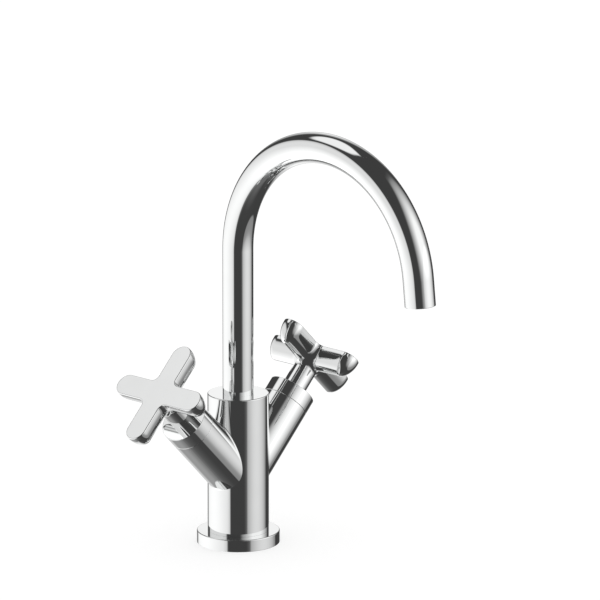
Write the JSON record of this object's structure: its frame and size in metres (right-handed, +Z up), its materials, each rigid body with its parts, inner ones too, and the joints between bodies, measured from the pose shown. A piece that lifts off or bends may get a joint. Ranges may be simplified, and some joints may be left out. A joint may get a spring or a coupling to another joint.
{
  "type": "basin mixer faucet",
  "caption": "Two-handle single-hole basin mixer with a swivel gooseneck spout, angled ceramic-disc valves and cross handles.",
  "frame": {"origin": "on the barrel's axis, in the plane of the deck that the base flange rests on", "axes": "+Z up along the barrel; the spout points to -Y at rest; the left valve leans to -X and the right valve to +X"},
  "size_m": [0.184, 0.1926, 0.2656],
  "materials": {
    "chrome": "polished plating",
    "brass": "machined",
    "steel": "stainless, machined",
    "rubber": "moulded, matt",
    "ceramic": "lapped ceramic",
    "plastic": "moulded"
  },
  "bodies": {
    "fixed_body": {"mixer_body": "chrome", "base_flange": "chrome", "base_gasket": "rubber", "flange_o_ring": "rubber", "slide_washer": "plastic", "spout_stop_screw": "steel", "left_cartridge_housing": "brass", "left_seat_seal": "rubber", "left_fixed_disc": "ceramic", "left_thrust_washer": "plastic", "left_housing_o_ring": "rubber", "left_bonnet_ring": "chrome", "right_cartridge_housing": "brass", "right_seat_seal": "rubber", "right_fixed_disc": "ceramic", "right_thrust_washer": "plastic", "right_housing_o_ring": "rubber", "right_bonnet_ring": "chrome"},
    "swivel_spout": {"spout_tube": "chrome", "spout_foot": "brass", "spout_o_ring_upper": "rubber", "spout_o_ring_lower": "rubber", "aerator_housing": "chrome", "aerator_insert": "plastic", "aerator_screen": "steel", "aerator_seal": "rubber"},
    "left_control": {"left_handle": "chrome", "left_spline_bush": "plastic", "left_grub_screw": "steel", "left_spindle": "brass", "left_moving_disc": "ceramic", "left_spindle_o_ring_upper": "rubber", "left_spindle_o_ring_lower": "rubber", "left_circlip": "steel"},
    "right_control": {"right_handle": "chrome", "right_spline_bush": "plastic", "right_grub_screw": "steel", "right_spindle": "brass", "right_moving_disc": "ceramic", "right_spindle_o_ring_upper": "rubber", "right_spindle_o_ring_lower": "rubber", "right_circlip": "steel"}
  },
  "joints": [
    {"name": "spout_swivel", "type": "hinge", "parent": "fixed_body", "child": "swivel_spout", "pos_m": [0, 0, 0.0928], "axis": [0, 0, 1], "range_deg": [-60, 60]},
    {"name": "left_handle_turn", "type": "hinge", "parent": "fixed_body", "child": "left_control", "pos_m": [0, 0, 0.038], "axis": [-0.7071, 0, 0.7071], "range_deg": [0, 90]},
    {"name": "right_handle_turn", "type": "hinge", "parent": "fixed_body", "child": "right_control", "pos_m": [0, 0, 0.038], "axis": [0.7071, 0, 0.7071], "range_deg": [-90, 0]}
  ]
}
